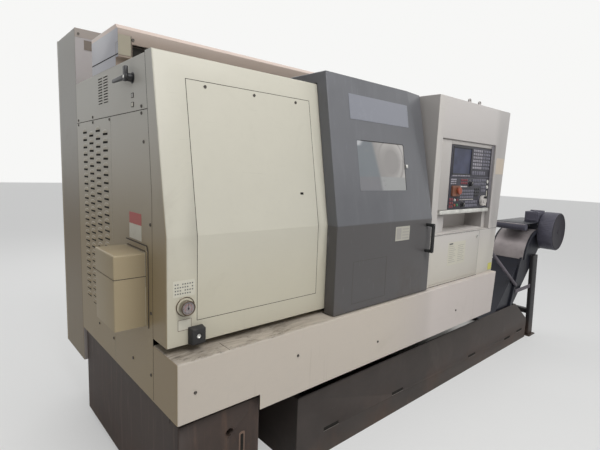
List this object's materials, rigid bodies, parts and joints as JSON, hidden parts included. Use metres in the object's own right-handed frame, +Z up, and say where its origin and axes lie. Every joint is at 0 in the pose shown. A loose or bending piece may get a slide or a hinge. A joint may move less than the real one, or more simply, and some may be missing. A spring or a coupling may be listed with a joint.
{
  "type": "cnc turning lathe",
  "caption": "Slant bed turning lathe with sliding door, operator cabinet, turret, tailstock, coolant tank and chip conveyor",
  "frame": {"origin": "middle of the footprint of the overall box, on the floor", "axes": "X along the spindle towards the tailstock and conveyor, Y from the operator's side to the rear, Z up"},
  "size_m": [3.805, 1.595, 2.08],
  "materials": {
    "cream_paint": "satin cream white machine paint, dusty",
    "dark_grey_paint": "satin dark grey door paint",
    "tank_paint": "dark grey brown paint, stained by coolant",
    "blue_black_paint": "blue black paint, satin",
    "cast_iron": "painted or bare casting",
    "machined_steel": "turned and ground steel",
    "light_grey_steel": "light grey sheet steel",
    "black_plastic": "black moulded plastic",
    "black_rubber": "black rubber",
    "window_pane": "scratched safety pane",
    "orange_plastic": "orange red plastic",
    "pale_plastic": "pale grey plastic"
  },
  "bodies": {
    "machine": {"left_cover": "cream_paint", "access_panel": "cream_paint", "side_panel_louvred": "cream_paint", "side_panel_plain": "cream_paint", "side_panel_upper": "cream_paint", "cylinder_cover": "cream_paint", "cylinder_cover_lid": "cream_paint", "front_skirt": "cream_paint", "rear_enclosure": "cream_paint", "top_rear_cover": "cream_paint", "electrical_cabinet": "cream_paint", "operator_cabinet": "cream_paint", "coolant_tank": "tank_paint", "conveyor_frame": "blue_black_paint", "conveyor_drive_guard": "blue_black_paint", "conveyor_motor": "blue_black_paint", "coolant_pump": "blue_black_paint", "spindle_motor": "blue_black_paint", "base_casting": "cast_iron", "slant_bed": "cast_iron", "headstock": "cast_iron", "pressure_gauge": "machined_steel", "door_rail": "machined_steel", "conveyor_belt": "machined_steel", "conveyor_hood": "light_grey_steel", "z_servo_motor": "black_plastic", "control_unit": "black_plastic", "operator_panel": "black_plastic", "conveyor_stand": "black_plastic", "drive_belt": "black_rubber", "door_bumper": "black_rubber"},
    "spindle_rotor": {"spindle": "machined_steel", "spindle_pulley": "machined_steel", "chuck_cylinder": "machined_steel", "chuck_body": "machined_steel"},
    "jaw_1": {"chuck_jaw_1": "machined_steel"},
    "jaw_2": {"chuck_jaw_2": "machined_steel"},
    "jaw_3": {"chuck_jaw_3": "machined_steel"},
    "motor_rotor": {"motor_pulley": "machined_steel"},
    "saddle": {"carriage": "cast_iron", "x_servo_motor": "black_plastic"},
    "cross": {"cross_slide": "machined_steel", "turret_housing": "cast_iron"},
    "turret": {"turret_disc": "machined_steel"},
    "screw": {"z_ballscrew": "machined_steel"},
    "tailstock": {"tailstock_body": "cast_iron"},
    "quill": {"tailstock_quill": "machined_steel"},
    "door": {"door_shell": "dark_grey_paint", "door_window": "window_pane", "door_handle": "black_plastic"},
    "main_switch": {"main_switch_handle": "black_plastic"},
    "needle": {"gauge_needle": "black_plastic"},
    "estop": {"estop_button": "orange_plastic"},
    "feed": {"feed_knob": "black_plastic"},
    "speed": {"speed_knob": "black_plastic"},
    "wheel": {"handwheel": "pale_plastic"},
    "service": {"service_door": "cream_paint"},
    "electrical": {"electrical_door": "cream_paint"},
    "conveyor_shaft": {"conveyor_drive_shaft": "machined_steel"}
  },
  "joints": [
    {"name": "spindle_turn", "type": "hinge", "parent": "machine", "child": "spindle_rotor", "pos_m": [-1.13, -0.3735, 0.94], "axis": [1, 0, 0], "continuous": true},
    {"name": "motor_turn", "type": "hinge", "parent": "machine", "child": "motor_rotor", "pos_m": [-1.675, 0.0125, 0.77], "axis": [1, 0, 0], "continuous": true},
    {"name": "jaw_1_slide", "type": "slide", "parent": "spindle_rotor", "child": "jaw_1", "axis": [0, 0, 1], "range_m": [-0.004, 0.003]},
    {"name": "jaw_2_slide", "type": "slide", "parent": "spindle_rotor", "child": "jaw_2", "axis": [0, -0.866, -0.5], "range_m": [-0.004, 0.003]},
    {"name": "jaw_3_slide", "type": "slide", "parent": "spindle_rotor", "child": "jaw_3", "axis": [0, 0.866, -0.5], "range_m": [-0.004, 0.003]},
    {"name": "z_travel", "type": "slide", "parent": "machine", "child": "saddle", "axis": [1, 0, 0], "range_m": [-0.1, 0.24]},
    {"name": "x_travel", "type": "slide", "parent": "saddle", "child": "cross", "axis": [0, 0.7071, 0.7071], "range_m": [-0.16, 0.02]},
    {"name": "turret_index", "type": "hinge", "parent": "cross", "child": "turret", "pos_m": [-0.89, -0.11948, 1.19402], "axis": [1, 0, 0], "continuous": true},
    {"name": "screw_turn", "type": "hinge", "parent": "machine", "child": "screw", "pos_m": [-1.1, 0.11196, 0.97008], "axis": [1, 0, 0], "range_deg": [-3000.1, 7200.1]},
    {"name": "tailstock_travel", "type": "slide", "parent": "machine", "child": "tailstock", "axis": [1, 0, 0], "range_m": [-0.3, 0.05]},
    {"name": "quill_travel", "type": "slide", "parent": "tailstock", "child": "quill", "axis": [-1, 0, 0], "range_m": [0, 0.1]},
    {"name": "door_slide", "type": "slide", "parent": "machine", "child": "door", "axis": [-1, 0, 0], "range_m": [0, 0.62]},
    {"name": "main_switch_turn", "type": "hinge", "parent": "machine", "child": "main_switch", "pos_m": [-1.8, -0.3705, 1.727], "axis": [1, 0, 0], "range_deg": [-90, 0]},
    {"name": "needle_turn", "type": "hinge", "parent": "machine", "child": "needle", "pos_m": [-1.71, -0.694, 0.902], "axis": [0, 1, 0], "range_deg": [-135, 135]},
    {"name": "estop_press", "type": "slide", "parent": "machine", "child": "estop", "axis": [0, 1, 0], "range_m": [0, 0.004]},
    {"name": "feed_turn", "type": "hinge", "parent": "machine", "child": "feed", "pos_m": [0.26, -0.6958, 1.355], "axis": [0, 1, 0], "range_deg": [-135, 135]},
    {"name": "speed_turn", "type": "hinge", "parent": "machine", "child": "speed", "pos_m": [0.175, -0.6958, 1.223], "axis": [0, 1, 0], "range_deg": [-135, 135]},
    {"name": "wheel_turn", "type": "hinge", "parent": "machine", "child": "wheel", "pos_m": [0.44, -0.6958, 1.245], "axis": [0, 1, 0], "continuous": true},
    {"name": "service_swing", "type": "hinge", "parent": "machine", "child": "service", "pos_m": [-0.17, -0.7095, 0.745], "axis": [0, 0, -1], "range_deg": [0, 100]},
    {"name": "electrical_swing", "type": "hinge", "parent": "machine", "child": "electrical", "pos_m": [-1.03, 0.7975, 0.31], "axis": [0, 0, -1], "range_deg": [0, 110]},
    {"name": "conveyor_turn", "type": "hinge", "parent": "machine", "child": "conveyor_shaft", "pos_m": [1.75, -0.6575, 0.87085], "axis": [0, 1, 0], "continuous": true}
  ],
  "couplings": [
    {"joint": "screw_turn", "follows": "z_travel", "rad_per_m": 523.6},
    {"joint": "motor_turn", "follows": "spindle_turn", "ratio": 1.8462},
    {"joint": "jaw_2_slide", "follows": "jaw_1_slide", "ratio": 1},
    {"joint": "jaw_3_slide", "follows": "jaw_1_slide", "ratio": 1}
  ]
}
